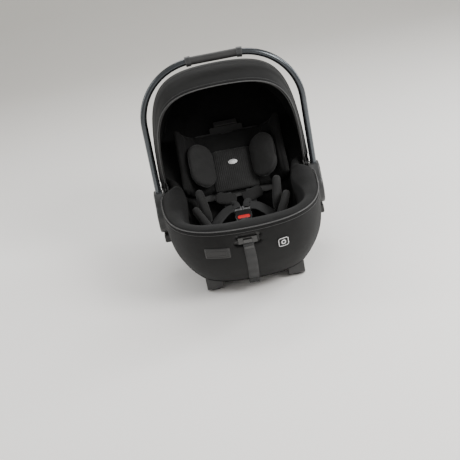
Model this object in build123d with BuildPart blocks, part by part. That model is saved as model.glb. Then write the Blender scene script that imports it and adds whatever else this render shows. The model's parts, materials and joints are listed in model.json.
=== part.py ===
from build123d import *
from math import cos, radians, sin
import os

# Infant car seat (carrier), millimetres. +Z up, foot end at -Y, head end at +Y.
# Left is -X and right is +X, as seen from the foot end. The skid pads stand on z = 0.

os.makedirs("parts", exist_ok=True)
SIDES = (("left", -1), ("right", 1))

# ---- hull and seat bowl: height, half width, foot end y, head end y -------------------
HULL_STATIONS = (
    (38, 140, -212, 132),
    (72, 169, -249, 180),
    (125, 189, -290, 228),
    (198, 196, -324, 272),
    (290, 196, -335, 308),
    (400, 194, -343, 331),
    (430, 193, -344, 333),
)
BACKREST_SHIFT = 90  # the 45 degree backrest lies on y = z - 90
BOWL_STATIONS = tuple(
    (height, half_width, foot_y, height - BACKREST_SHIFT)
    for height, half_width, foot_y in (
        (92, 96, -176),
        (135, 132, -222),
        (195, 156, -268),
        (290, 168, -290),
        (400, 168, -300),
        (440, 168, -304),
    )
)
HULL_FULLNESS, BOWL_FULLNESS = 0.73, 0.86
SHELL_WALL = 4
COVER_THICK = 5
FOAM_THICK = 12
SOFT_GAP = 0.3
RIM_CAP = 9  # padded cover above the rim
SKIRT_THICK, SKIRT_LOW = 3.2, 40  # fabric skirt around the foot end
RIM_POINTS = (
    (-500, 210),
    (-150, 209),
    (-60, 208),
    (0, 213),
    (50, 221),
    (130, 258),
    (322, 391),
    (500, 510),
)
FAR = 600  # larger than the seat

# ---- handle ---------------------------------------------------------------------------
PIVOT_Y, PIVOT_Z = 30, 150
HANDLE_HALF_WIDTH = 206.7
HANDLE_TOP = 546
HANDLE_CORNER = 150
TUBE_DIAMETER = 17
GRIP_DIAMETER, GRIP_HALF_TURN = 21, 0.8
COLLAR_DIAMETER, COLLAR_HALF_TURN = 26, 5.2
CAP_RADIUS, CAP_INNER_X, CAP_OUTER_X = 46, 197, 221
BASE_RADIUS, BASE_INNER_X = 50, 184
BOLT_DIAMETER = 10
RUN_CLEARANCE = 0.3
BUTTON_DIAMETER, BUTTON_TRAVEL = 26, 4

# ---- canopy ---------------------------------------------------------------------------
CANOPY_Y, CANOPY_Z = 35, 215
CANOPY_FULLNESS = 0.854
CANOPY_STEP = 4.7  # each panel slides inside the one behind it
FABRIC = 2.2
FRONT_RADIUS, FRONT_HALF_WIDTH = 297, 186.2
MID_RADIUS, MID_HALF_WIDTH = FRONT_RADIUS + CANOPY_STEP, FRONT_HALF_WIDTH + CANOPY_STEP
REAR_RADIUS, REAR_HALF_WIDTH = 308, 196.2
RIM_RADIUS, RIM_HALF_WIDTH, RIM_FULLNESS = 338, 197.5, 0.76
BOW_WIDTH, BOW_THICK = 10, 2
CORE_RADIUS, EYE_RADIUS, PIN_RADIUS = 42, 9, 4
FRONT_EDGE, FRONT_SEAM, REAR_SEAM, RIM_ANGLE = 17.5, -6, -28, -56

# ---- harness --------------------------------------------------------------------------
WEBBING_WIDTH, WEBBING_THICK = 26, 1.8
ADJUSTER_X = -6
BUCKLE_Y, BUCKLE_Z = -62, 134

# ---- skids ----------------------------------------------------------------------------
SKID_X, SKID_WIDTH = 105, 42
SKID_FRONT, SKID_REAR = -182, 128
PAD_PROUD, PAD_THICK = 1.5, 3
TRAY_BOTTOM, HULL_BOTTOM = 5, 38
SKID_TOP = 66  # before the skid is cut to the hull
BAR_DIAMETER, BAR_Z = 8, 12

# The backrest frame: local x across, local y up the slope, local z out of the backrest.
BACKREST = Plane(origin=(0, 100 - BACKREST_SHIFT, 100), x_dir=(1, 0, 0), z_dir=(0, -1, 1))


def save(piece, name):
    piece.part.label = name
    export_step(piece.part, f"parts/{name}.step")


def on_backrest(across, along, out, x_dir=(1, 0, 0), z_dir=(0, 0, 1)):
    """A plane at a point given in the backrest frame, with directions in that frame."""
    local = Plane(origin=(across, along, out), x_dir=x_dir, z_dir=z_dir)
    return Plane(BACKREST.location * local.location)


def ring(half_width, foot_y, head_y, fullness):
    """A rounded, nearly square outline made of four tangent curves."""
    middle, half_length = (foot_y + head_y) / 2, (head_y - foot_y) / 2
    side, end = half_width * fullness, half_length * fullness
    with BuildLine() as outline:
        for sx, sy in ((1, 1), (-1, 1), (-1, -1), (1, -1)):
            corner = (
                (sx * half_width, middle),
                (sx * half_width, middle + sy * end),
                (sx * side, middle + sy * half_length),
                (0, middle + sy * half_length),
            )
            Bezier(*(corner if sx == sy else corner[::-1]))
    make_face(outline.edges())


def stacked(stations, growth, fullness):
    """A loft through level outlines, grown outwards and downwards by the same amount."""
    with BuildPart() as blank:
        for index, (height, half_width, foot_y, head_y) in enumerate(stations):
            drop = growth if index == 0 else 0
            with BuildSketch(Plane.XY.offset(height - drop)):
                ring(half_width + growth, foot_y - growth, head_y + growth, fullness)
        loft()
    return blank.part


def hull(growth):
    return stacked(HULL_STATIONS, growth, HULL_FULLNESS)


def bowl(growth):
    return stacked(BOWL_STATIONS, growth, BOWL_FULLNESS)


def above_rim(lift):
    """Everything above the rim line, which is one curve in side view."""
    with BuildPart() as block:
        with BuildSketch(Plane.YZ):
            with BuildLine():
                points = [(y, z + lift) for y, z in RIM_POINTS]
                Spline(*points)
                Polyline(points[-1], (points[-1][0], FAR), (points[0][0], FAR), points[0])
            make_face()
        extrude(amount=FAR / 2, both=True)
    return block.part


def block(x_range, y_range, z_range):
    """A plain box given by its three ranges, for cutting and for clipping."""
    sizes = [high - low for low, high in (x_range, y_range, z_range)]
    centre = [(high + low) / 2 for low, high in (x_range, y_range, z_range)]
    return Pos(*centre) * Box(*sizes, mode=Mode.PRIVATE)


def side_range(sign, inner, outer):
    return (inner, outer) if sign > 0 else (-outer, -inner)


def dome(half_width, height, mode=Mode.ADD, base=0, fullness=CANOPY_FULLNESS):
    """The outline of the canopy from its base line up, in the current sketch."""
    left = (
        (-half_width, base),
        (-half_width, base + (height - base) * fullness),
        (-half_width * fullness, height),
        (0, height),
    )
    with BuildLine() as outline:
        Bezier(*left)
        Bezier(*[(-x, z) for x, z in left[::-1]])
        Line((half_width, base), (-half_width, base))
    make_face(outline.edges(), mode=mode)


def arch(half_width, height, thickness):
    """The same outline as a thin arch."""
    dome(half_width, height)
    dome(half_width - thickness, height - thickness, Mode.SUBTRACT)


def canopy_plane(angle):
    """The plane through the canopy axis, leaning forwards from upright by the angle."""
    lean = radians(angle)
    return Plane(
        origin=(0, CANOPY_Y, CANOPY_Z), x_dir=(1, 0, 0), z_dir=(0, -cos(lean), -sin(lean))
    )


def canopy_core(radius):
    """A rod along the canopy axis, which keeps the fabric clear of the pivots."""
    with BuildPart() as core:
        with BuildSketch(Plane.YZ):
            with Locations((CANOPY_Y, CANOPY_Z)):
                Circle(radius)
        extrude(amount=FAR / 2, both=True)
    return core.part


def canopy_panel(name, half_width, radius, rear_angle, front_angle):
    with BuildPart() as panel:
        with BuildSketch(canopy_plane(front_angle)):
            arch(half_width, radius, FABRIC)
        axis = Axis((0, CANOPY_Y, CANOPY_Z), (-1, 0, 0))
        revolve(axis=axis, revolution_arc=front_angle - rear_angle)
        add(canopy_core(CORE_RADIUS), mode=Mode.SUBTRACT)
    save(panel, name)


def canopy_bow(name, half_width, radius, angle, has_eyes=True):
    """A flat strip bent over the seat, with an eye at each end on the canopy pivot."""
    outer_x = half_width - FABRIC - SOFT_GAP
    with BuildPart() as bow:
        with BuildSketch(canopy_plane(angle)):
            arch(outer_x, radius - FABRIC - SOFT_GAP, BOW_THICK)
        extrude(amount=BOW_WIDTH / 2, both=True)
        if has_eyes:
            for _, sign in SIDES:
                with BuildSketch(Plane.YZ.offset(sign * (outer_x - BOW_THICK))):
                    with Locations((CANOPY_Y, CANOPY_Z)):
                        Circle(EYE_RADIUS)
                extrude(amount=sign * BOW_THICK)
        add(canopy_core(PIN_RADIUS + RUN_CLEARANCE if has_eyes else CORE_RADIUS), mode=Mode.SUBTRACT)
    save(bow, name)


def cushion(name, planes, length, width, thickness):
    """Pads of one size with round ends, soft all around, one solid on each plane."""
    with BuildPart() as pad:
        for plane in planes:
            with BuildSketch(plane.offset(-thickness / 2)):
                RectangleRounded(width, length, min(width, length) * 0.46)
            extrude(amount=thickness)
        fillet(pad.edges(), thickness * 0.42)
    save(pad, name)


# ==== hull, bowl and covers ============================================================
hull_body, bowl_body = hull(0), bowl(0)
foam_inner = bowl(COVER_THICK + SOFT_GAP)
shell_inner = bowl(COVER_THICK + FOAM_THICK + SOFT_GAP)
shell_outer = bowl(COVER_THICK + FOAM_THICK + SHELL_WALL)
skirt_inner, skirt_outer = hull(SOFT_GAP), hull(SKIRT_THICK)
over_rim, under_shell_rim, over_cap = above_rim(0), above_rim(-2), above_rim(RIM_CAP)

RELEASE_X, RELEASE_Z, RELEASE_Y = 62, (296, 352), 285
release_recess = block((-RELEASE_X, RELEASE_X), (RELEASE_Y, 400), RELEASE_Z)
CROTCH_SLOT = block((-17, 17), (-100, -92), (40, 120))
MOUNT_POCKET_Y = (8, 62)
ADJUSTER_Z = (181, 201)
adjuster_window = block((ADJUSTER_X - 24, ADJUSTER_X + 24), (-400, -250), ADJUSTER_Z)

with BuildPart() as hub_pockets:
    for _, sign in SIDES:
        with BuildSketch(Plane.YZ.offset(sign * BASE_INNER_X)):
            with Locations((PIVOT_Y, PIVOT_Z)):
                Circle(BASE_RADIUS + SOFT_GAP)
            with Locations((PIVOT_Y, 93)):
                Rectangle(52, 32)
        extrude(amount=sign * 60)
        with BuildSketch(Plane.YZ.offset(sign * 160)):
            with Locations((PIVOT_Y, 88)):
                Rectangle(18, 10)
        extrude(amount=sign * 60)

SCREW_SPOTS = [(x, y) for x in (-68, 68) for y in (-130, -20, 90)]

with BuildPart() as outer_shell:
    add(hull_body)
    add(hull(-SHELL_WALL), mode=Mode.SUBTRACT)
    add(over_rim, mode=Mode.SUBTRACT)
    add(hub_pockets.part, mode=Mode.SUBTRACT)
    add(release_recess, mode=Mode.SUBTRACT)
    add(adjuster_window, mode=Mode.SUBTRACT)
    with BuildSketch(Plane.XY):
        with Locations(*SCREW_SPOTS):
            Circle(2)
    extrude(amount=60, mode=Mode.SUBTRACT)
save(outer_shell, "outer_shell")

with BuildPart() as seat_shell:
    add(shell_outer)
    add(hull(-SHELL_WALL - SOFT_GAP), mode=Mode.INTERSECT)
    add(shell_inner, mode=Mode.SUBTRACT)
    add(under_shell_rim, mode=Mode.SUBTRACT)
    add(CROTCH_SLOT, mode=Mode.SUBTRACT)
save(seat_shell, "seat_shell")

with BuildPart() as foam_liner:
    add(bowl(COVER_THICK + FOAM_THICK))
    add(foam_inner, mode=Mode.SUBTRACT)
    add(under_shell_rim, mode=Mode.SUBTRACT)
    add(CROTCH_SLOT, mode=Mode.SUBTRACT)
save(foam_liner, "foam_liner")

with BuildPart() as below_cap:
    add(hull(12))
    add(above_rim(SOFT_GAP), mode=Mode.SUBTRACT)
    add(bowl(COVER_THICK), mode=Mode.SUBTRACT)

with BuildPart() as seat_cover:
    add(skirt_outer)
    add(over_cap, mode=Mode.SUBTRACT)
    add(bowl_body, mode=Mode.SUBTRACT)
    add(below_cap.part, mode=Mode.SUBTRACT)
    add(CROTCH_SLOT, mode=Mode.SUBTRACT)
    for _, sign in SIDES:
        add(block(side_range(sign, 174, 230), MOUNT_POCKET_Y, (180, 260)), mode=Mode.SUBTRACT)
save(seat_cover, "seat_cover")

with BuildPart() as behind_skirt:
    with BuildSketch(Plane.YZ):
        with BuildLine():
            edge = [(-24, FAR), (-24, 205), (-60, 120), (-130, 50), (-150, SKIRT_LOW)]
            Polyline(*edge, (-500, SKIRT_LOW), (-500, -100), (500, -100), (500, FAR), edge[0])
        make_face()
    extrude(amount=FAR / 2, both=True)

with BuildPart() as front_cover:
    add(skirt_outer)
    add(skirt_inner, mode=Mode.SUBTRACT)
    add(over_rim, mode=Mode.SUBTRACT)
    add(behind_skirt.part, mode=Mode.SUBTRACT)
    add(adjuster_window, mode=Mode.SUBTRACT)
save(front_cover, "front_cover")


def on_skirt(name, x_range, z_range, outer_growth):
    """A thin flat thing that lies on the fabric skirt at the foot end."""
    with BuildPart() as patch:
        add(hull(outer_growth))
        add(hull(SKIRT_THICK + SOFT_GAP), mode=Mode.SUBTRACT)
        add(block(x_range, (-400, -150), z_range), mode=Mode.INTERSECT)
    save(patch, name)


on_skirt("front_patch", (-112, -52), (145, 177), SKIRT_THICK + 1.5)
on_skirt("front_tag", (64, 92), (146, 175), SKIRT_THICK + 1.3)
strap_edges = (ADJUSTER_X - WEBBING_WIDTH / 2, ADJUSTER_X + WEBBING_WIDTH / 2)
on_skirt("adjuster_strap", strap_edges, (40, 179), SKIRT_THICK + SOFT_GAP + WEBBING_THICK)

# ==== adjuster at the foot end =========================================================
BUTTON_SIZE, BUTTON_Y, BUTTON_Z = (22, 8), -327, 191
with BuildPart() as adjuster_housing:
    add(hull(SKIRT_THICK + 4))
    add(hull(-14), mode=Mode.SUBTRACT)
    bezel_z = (ADJUSTER_Z[0] + 1, ADJUSTER_Z[1] - 1)
    add(block((ADJUSTER_X - 23, ADJUSTER_X + 23), (-400, -250), bezel_z), mode=Mode.INTERSECT)
    hole_z = (BUTTON_Z - BUTTON_SIZE[1] / 2 - 0.5, BUTTON_Z + BUTTON_SIZE[1] / 2 + 0.5)
    add(block((ADJUSTER_X - 11.5, ADJUSTER_X + 11.5), (-400, BUTTON_Y + 7), hole_z), mode=Mode.SUBTRACT)
save(adjuster_housing, "adjuster_housing")

with BuildPart() as adjuster_button:
    with BuildSketch(Plane.XZ.offset(-BUTTON_Y)):
        with Locations((ADJUSTER_X, BUTTON_Z)):
            RectangleRounded(*BUTTON_SIZE, 2)
    extrude(amount=7)
save(adjuster_button, "adjuster_button")

# ==== skids, tray and base latch bars ==================================================
PAD_Y = (-148, 104)
with BuildPart() as skid_pads:
    for _, sign in SIDES:
        for pad_y in PAD_Y:
            with BuildSketch(Plane.XY):
                with Locations((sign * SKID_X, pad_y)):
                    RectangleRounded(24, 36, 6)
            extrude(amount=PAD_THICK)
save(skid_pads, "skid_pads")

with BuildPart() as latch_bars:
    for bar_y in (-100, 60):
        with BuildSketch(Plane.YZ):
            with Locations((bar_y, BAR_Z)):
                Circle(BAR_DIAMETER / 2)
        extrude(amount=SKID_X - SKID_WIDTH / 2 + 5, both=True)
save(latch_bars, "latch_bars")

with BuildPart() as skid_clearance:
    add(hull(SKIRT_THICK + SOFT_GAP))
    add(block((-FAR, FAR), (-FAR, FAR), (0, SKIRT_LOW - 0.5)), mode=Mode.SUBTRACT)
    add(hull_body)

for side, sign in SIDES:
    with BuildPart() as skid:
        with BuildSketch(Plane.YZ.offset(sign * (SKID_X - SKID_WIDTH / 2))):
            with BuildLine():
                Polyline(
                    (SKID_FRONT - 4, SKID_TOP),
                    (SKID_FRONT, 12),
                    (SKID_FRONT + 16, PAD_PROUD),
                    (SKID_REAR - 22, PAD_PROUD),
                    (SKID_REAR - 4, 12),
                    (SKID_REAR, SKID_TOP),
                    close=True,
                )
            make_face()
        extrude(amount=sign * SKID_WIDTH)
        fillet(skid.edges().filter_by(Axis.X).group_by(Axis.Z)[0], 12)
        add(skid_clearance.part, mode=Mode.SUBTRACT)
        add(skid_pads.part, mode=Mode.SUBTRACT)
        add(latch_bars.part, mode=Mode.SUBTRACT)
    save(skid, f"skid_{side}")

with BuildPart() as lower_tray:
    with BuildSketch(Plane.XY.offset(TRAY_BOTTOM)):
        with Locations((0, -20)):
            RectangleRounded(166, 250, 14)
    extrude(amount=HULL_BOTTOM - TRAY_BOTTOM)
    with BuildSketch(Plane.XY.offset(TRAY_BOTTOM)):
        with Locations((0, -20)):
            RectangleRounded(160, 244, 11)
    extrude(amount=HULL_BOTTOM - TRAY_BOTTOM - 3, mode=Mode.SUBTRACT)
    add(latch_bars.part, mode=Mode.SUBTRACT)
    with BuildSketch(Plane.XY):
        with Locations(*SCREW_SPOTS):
            Circle(2)
    extrude(amount=60, mode=Mode.SUBTRACT)
save(lower_tray, "lower_tray")

with BuildPart() as tray_screws:
    with BuildSketch(Plane.XY.offset(HULL_BOTTOM - 6)):
        with Locations(*SCREW_SPOTS):
            Circle(4.2)
    extrude(amount=3)
    with BuildSketch(Plane.XY.offset(HULL_BOTTOM - 3)):
        with Locations(*SCREW_SPOTS):
            Circle(2)
    extrude(amount=9)
save(tray_screws, "tray_screws")

# ==== handle hubs ======================================================================
RING_RADIUS, RING_DEEP, TOOTH = 34, 3, 4
SOCKET_X, SOCKET_Z = (197, 211), (78, 112)
with BuildPart() as pivot_bolts:
    for _, sign in SIDES:
        for start, length, radius in ((174, 4, 11), (178, 26, BOLT_DIAMETER / 2), (204, 2.5, 10)):
            with BuildSketch(Plane.YZ.offset(sign * start)):
                with Locations((PIVOT_Y, PIVOT_Z)):
                    Circle(radius)
            extrude(amount=sign * length)
save(pivot_bolts, "pivot_bolts")

with BuildPart() as detent_rings:
    for _, sign in SIDES:
        with BuildSketch(Plane.YZ.offset(sign * (CAP_INNER_X - 0.5 - RING_DEEP))):
            with Locations((PIVOT_Y, PIVOT_Z)):
                Circle(RING_RADIUS)
                with PolarLocations(RING_RADIUS - 4, 24):
                    RectangleRounded(5, TOOTH, 0.8, mode=Mode.SUBTRACT)
                Circle(RING_RADIUS - 8, mode=Mode.SUBTRACT)
        extrude(amount=sign * RING_DEEP)
save(detent_rings, "detent_rings")

for side, sign in SIDES:
    with BuildPart() as hub_base:
        with BuildSketch(Plane.YZ.offset(sign * BASE_INNER_X)):
            with Locations((PIVOT_Y, PIVOT_Z)):
                Circle(BASE_RADIUS)
            with Locations((PIVOT_Y, 93)):
                RectangleRounded(50, 30, 6)
        extrude(amount=sign * (CAP_INNER_X - 0.5 - BASE_INNER_X))
        with BuildSketch(Plane.YZ.offset(sign * (CAP_INNER_X - 0.5))):
            with Locations((PIVOT_Y, 90)):
                RectangleRounded(50, 24, 6)
        extrude(amount=sign * 18)
        outer = hub_base.faces().sort_by(Axis.X)[-1 if sign > 0 else 0].edges()
        fillet(outer, 4)
        with BuildSketch(Plane.XY.offset(SOCKET_Z[0] - 4)):
            with Locations((sign * (SOCKET_X[0] + SOCKET_X[1]) / 2, PIVOT_Y)):
                RectangleRounded(SOCKET_X[1] - SOCKET_X[0], 30, 3)
        extrude(amount=22, mode=Mode.SUBTRACT)
        with BuildSketch(Plane.YZ.offset(sign * (BASE_INNER_X - 1))):
            with Locations((PIVOT_Y, PIVOT_Z)):
                Circle(BOLT_DIAMETER / 2)
        extrude(amount=sign * 30, mode=Mode.SUBTRACT)
        with BuildSketch(Plane.YZ.offset(sign * (CAP_INNER_X - 0.5 - RING_DEEP))):
            with Locations((PIVOT_Y, PIVOT_Z)):
                Circle(RING_RADIUS)
        extrude(amount=sign * 10, mode=Mode.SUBTRACT)
        # the wedge of the adapter latch slides through the wall into the socket
        add(block(side_range(sign, 180, 200), (22, 38), (84, 92)), mode=Mode.SUBTRACT)
    save(hub_base, f"hub_base_{side}")

    with BuildPart() as adapter_latch:
        with BuildSketch(Plane.XZ.offset(-37.5)):
            with BuildLine():
                wedge = ((168, 84.5), (201, 84.5), (197.5, 91.5), (168, 91.5))
                Polyline(*[(sign * x, z) for x, z in wedge], close=True)
            make_face()
        extrude(amount=15)
    save(adapter_latch, f"adapter_latch_{side}")

    with BuildPart() as hub_cap:
        with BuildSketch(Plane.YZ.offset(sign * CAP_INNER_X)) as cap_outline:
            with Locations((PIVOT_Y, PIVOT_Z)):
                Circle(CAP_RADIUS)
            with BuildLine():
                Polyline(
                    (PIVOT_Y - 42, PIVOT_Z + 12),
                    (PIVOT_Y - 14, PIVOT_Z + 66),
                    (PIVOT_Y + 14, PIVOT_Z + 66),
                    (PIVOT_Y + 42, PIVOT_Z + 12),
                    close=True,
                )
            make_face()
            fillet(cap_outline.vertices().group_by(Axis.Z)[-1], 6)
        extrude(amount=sign * (CAP_OUTER_X - CAP_INNER_X))
        outer = hub_cap.faces().sort_by(Axis.X)[-1 if sign > 0 else 0].edges()
        fillet(outer, 5)
        for start, diameter in ((CAP_INNER_X, BOLT_DIAMETER), (203.5, BUTTON_DIAMETER)):
            with BuildSketch(Plane.YZ.offset(sign * start)):
                with Locations((PIVOT_Y, PIVOT_Z)):
                    Circle(diameter / 2 + RUN_CLEARANCE)
            extrude(amount=sign * 30, mode=Mode.SUBTRACT)
        with BuildSketch(Plane.XY.offset(PIVOT_Z + 22)):
            with Locations((sign * HANDLE_HALF_WIDTH, PIVOT_Y)):
                Circle(TUBE_DIAMETER / 2)
        extrude(amount=60, mode=Mode.SUBTRACT)
    save(hub_cap, f"hub_cap_{side}")

    with BuildPart() as handle_button:
        with BuildSketch(Plane.YZ.offset(sign * (204 + 2.8 + BUTTON_TRAVEL))):
            with Locations((PIVOT_Y, PIVOT_Z)):
                Circle(BUTTON_DIAMETER / 2)
        extrude(amount=sign * 12)
        outer = handle_button.faces().sort_by(Axis.X)[-1 if sign > 0 else 0].edges()
        fillet(outer, 2)
    save(handle_button, f"handle_button_{side}")

# ==== handle ===========================================================================
corner_x = HANDLE_HALF_WIDTH - HANDLE_CORNER
corner_z = HANDLE_TOP - HANDLE_CORNER
handle_plane = Plane(origin=(0, PIVOT_Y, 0), x_dir=(1, 0, 0), z_dir=(0, -1, 0))


def handle_arc(sign, start, end):
    """Part of one handle corner, between two angles up from level, in degrees."""
    angles = (start, end) if sign > 0 else (180 - start, 180 - end)
    centre = (sign * corner_x, corner_z)
    return CenterArc(centre, HANDLE_CORNER, angles[0], angles[1] - angles[0])


grip_start = 90 - GRIP_HALF_TURN
collar_start = grip_start - COLLAR_HALF_TURN
with BuildPart() as handle_tube:
    with BuildLine(handle_plane) as tube_path:
        Line((-HANDLE_HALF_WIDTH, PIVOT_Z + 22), (-HANDLE_HALF_WIDTH, corner_z))
        handle_arc(-1, 0, 90)
        Line((-corner_x, HANDLE_TOP), (corner_x, HANDLE_TOP))
        handle_arc(1, 90, 0)
        Line((HANDLE_HALF_WIDTH, corner_z), (HANDLE_HALF_WIDTH, PIVOT_Z + 22))
    with BuildSketch(Plane.XY.offset(PIVOT_Z + 22)):
        with Locations((-HANDLE_HALF_WIDTH, PIVOT_Y)):
            Circle(TUBE_DIAMETER / 2)
    sweep(path=tube_path.wires()[0])
save(handle_tube, "handle_tube")

with BuildPart() as handle_grip:
    with BuildLine(handle_plane) as grip_path:
        handle_arc(-1, grip_start, 90)
        Line((-corner_x, HANDLE_TOP), (corner_x, HANDLE_TOP))
        handle_arc(1, 90, grip_start)
    with BuildSketch(Plane(grip_path.line @ 0, z_dir=grip_path.line % 0)):
        Circle(GRIP_DIAMETER / 2)
        Circle(TUBE_DIAMETER / 2, mode=Mode.SUBTRACT)
    sweep(path=grip_path.wires()[0])
save(handle_grip, "handle_grip")

with BuildPart() as grip_collars:
    for sign in (-1, 1):
        with BuildLine(handle_plane) as collar_path:
            handle_arc(sign, collar_start, grip_start)
        with BuildSketch(Plane(collar_path.line @ 0, z_dir=collar_path.line % 0)):
            Circle(COLLAR_DIAMETER / 2)
            Circle(TUBE_DIAMETER / 2, mode=Mode.SUBTRACT)
        sweep(path=collar_path.wires()[0])
save(grip_collars, "grip_collars")

# ==== canopy ===========================================================================
canopy_panel("canopy_front_panel", FRONT_HALF_WIDTH, FRONT_RADIUS, FRONT_SEAM - 0.5, FRONT_EDGE)
canopy_panel("canopy_mid_panel", MID_HALF_WIDTH, MID_RADIUS, REAR_SEAM - 0.5, FRONT_SEAM + 0.5)


def rear_dome(inset, reach, base):
    """The rear of the canopy, from the last bow down to the rim, drawn in by the inset."""
    with BuildPart() as hood:
        for angle, half_width, radius, fullness in (
            (REAR_SEAM + 0.5 + reach, REAR_HALF_WIDTH, REAR_RADIUS, CANOPY_FULLNESS),
            (RIM_ANGLE - reach, RIM_HALF_WIDTH, RIM_RADIUS, RIM_FULLNESS),
        ):
            with BuildSketch(canopy_plane(angle)):
                dome(half_width - inset, radius - inset, base=base, fullness=fullness)
        loft()
    return hood.part


with BuildPart() as canopy_rear_panel:
    add(rear_dome(0, 0, CORE_RADIUS))
    add(rear_dome(FABRIC, 0.5, CORE_RADIUS - 5), mode=Mode.SUBTRACT)
save(canopy_rear_panel, "canopy_rear_panel")

canopy_bow("canopy_front_bow", FRONT_HALF_WIDTH, FRONT_RADIUS, FRONT_EDGE - 1)
canopy_bow("canopy_mid_bow", MID_HALF_WIDTH, MID_RADIUS, FRONT_SEAM - 0.5)
canopy_bow("canopy_rear_bow", REAR_HALF_WIDTH - 0.5, REAR_RADIUS - 1.5, REAR_SEAM - 0.6, has_eyes=False)

MOUNT_X, MOUNT_THICK = 179.6, 1.9
with BuildPart() as canopy_mounts:
    for _, sign in SIDES:
        with BuildSketch(Plane.YZ.offset(sign * MOUNT_X)):
            with Locations((CANOPY_Y, CANOPY_Z)):
                Circle(PIN_RADIUS)
        extrude(amount=sign * 11)
        with BuildSketch(Plane.YZ.offset(sign * MOUNT_X)):
            with Locations((CANOPY_Y, CANOPY_Z - 10)):
                RectangleRounded(26, 46, 6)
        extrude(amount=sign * MOUNT_THICK)
        with BuildSketch(Plane.YZ.offset(sign * (MOUNT_X + MOUNT_THICK))):
            with Locations((CANOPY_Y, CANOPY_Z - 21)):
                RectangleRounded(26, 13, 4)
        extrude(amount=sign * 14)
    add(hull(-SHELL_WALL - 0.2), mode=Mode.INTERSECT)
    add(hub_pockets.part, mode=Mode.SUBTRACT)
save(canopy_mounts, "canopy_mounts")

# ==== headrest =========================================================================
BOARD_OUT, BOARD_THICK = 14, 4
PAD_OUT = BOARD_OUT + BOARD_THICK + SOFT_GAP
with BuildPart() as headrest_board:
    with BuildSketch(on_backrest(0, 0, BOARD_OUT)):
        with Locations((0, 160)):
            RectangleRounded(196, 196, 20)
        with Locations((0, 262)):
            RectangleRounded(90, 24, 6)
        with Locations((-36, 86), (36, 86)):
            RectangleRounded(32, 8, 2, mode=Mode.SUBTRACT)
    extrude(amount=BOARD_THICK)
save(headrest_board, "headrest_board")

# the pad has a side wing at each edge, shown by its section across the seat
with BuildPart() as headrest_pad:
    with BuildSketch(on_backrest(0, 74, 0, x_dir=(1, 0, 0), z_dir=(0, 1, 0))):
        with BuildLine():
            half = [
                (0, PAD_OUT), (96, PAD_OUT), (120, 34), (138, 62), (141, 92), (132, 98),
                (122, 90), (116, 68), (100, 46), (88, 36), (0, 34),
            ]
            Polyline(*[(x, -out) for x, out in half])
            Polyline(*[(-x, -out) for x, out in half])
        make_face()
    extrude(amount=178)
save(headrest_pad, "headrest_pad")

PILLOW_OUT = 36
with BuildPart() as head_pillow:
    with BuildSketch(on_backrest(0, 132, PILLOW_OUT)) as pillow_outline:
        Polygon((-57, -58), (57, -58), (50, 58), (-50, 58))
        fillet(pillow_outline.vertices(), 14)
    extrude(amount=12)
    fillet(head_pillow.faces().sort_by(Axis((0, 0, 0), (0, -1, 1)))[-1].edges(), 7)
save(head_pillow, "head_pillow")

for side, sign in SIDES:
    lean = on_backrest(sign * 82, 142, 76, x_dir=(0.78, 0, sign * 0.626), z_dir=(-sign * 0.626, 0, 0.78))
    cushion(f"head_pad_{side}", [lean], 126, 84, 26)

    with BuildPart() as shoulder_pad:
        with BuildSketch(on_backrest(sign * 35, 50, 38, x_dir=(0.951, sign * 0.309, 0))) as pad_outline:
            Rectangle(58, 34)
            fillet(pad_outline.vertices(), 12)
        extrude(amount=11)
        fillet(shoulder_pad.edges().filter_by(GeomType.LINE, reverse=True), 2)
    save(shoulder_pad, f"shoulder_pad_{side}")

with BuildPart() as headrest_lever:
    with BuildSketch(on_backrest(0, 281, BOARD_OUT - 2)):
        RectangleRounded(64, 13, 4)
    extrude(amount=12)
    fillet(headrest_lever.edges().filter_by(GeomType.LINE, reverse=True), 1.5)
save(headrest_lever, "headrest_lever")

# ==== seat cushions ====================================================================
with BuildPart() as seat_insert:
    with BuildSketch(Plane.XY.offset(92 + SOFT_GAP)):
        with Locations((0, -86)):
            RectangleRounded(150, 140, 40)
    extrude(amount=16)
    fillet(seat_insert.edges().group_by(Axis.Z)[-1], 6)
    add(CROTCH_SLOT, mode=Mode.SUBTRACT)
save(seat_insert, "seat_insert")

torso_planes = [
    Plane(origin=(sign * 96.5, -27, 174), x_dir=(sign * 0.17, 0.68, 0.72), z_dir=(sign, -0.12, -0.12))
    for _, sign in SIDES
]
cushion("torso_wings", torso_planes, 60, 90, 20)

hip_planes = [
    Plane(origin=(sign * 103, -86, 157), x_dir=(sign * 0.43, 0.59, 0.68), z_dir=(sign * 0.9, -0.27, -0.335))
    for _, sign in SIDES
]
cushion("hip_wings", hip_planes, 50, 86, 18)

# ==== harness ==========================================================================
BUCKLE = Plane(origin=(0, BUCKLE_Y, BUCKLE_Z), x_dir=(1, 0, 0), z_dir=(0, -0.5, 0.866))
BUCKLE_THICK = 18
with BuildPart() as buckle_housing:
    with BuildSketch(BUCKLE.offset(-BUCKLE_THICK / 2)) as buckle_outline:
        Polygon((-15, -24), (15, -24), (23, 4), (21, 24), (-21, 24), (-23, 4))
        fillet(buckle_outline.vertices(), 5)
    extrude(amount=BUCKLE_THICK)
    fillet(buckle_housing.edges().group_by(Axis((0, 0, 0), (0, -0.5, 0.866)))[-1], 3)
    with BuildSketch(BUCKLE.offset(BUCKLE_THICK / 2 - 7)):
        SlotCenterToCenter(22, 11)
    extrude(amount=12, mode=Mode.SUBTRACT)
    with BuildSketch(BUCKLE.offset(-2.5)):
        with Locations((-11, 17), (11, 17)):
            Rectangle(16, 16)
    extrude(amount=4, mode=Mode.SUBTRACT)
save(buckle_housing, "buckle_housing")

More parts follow.
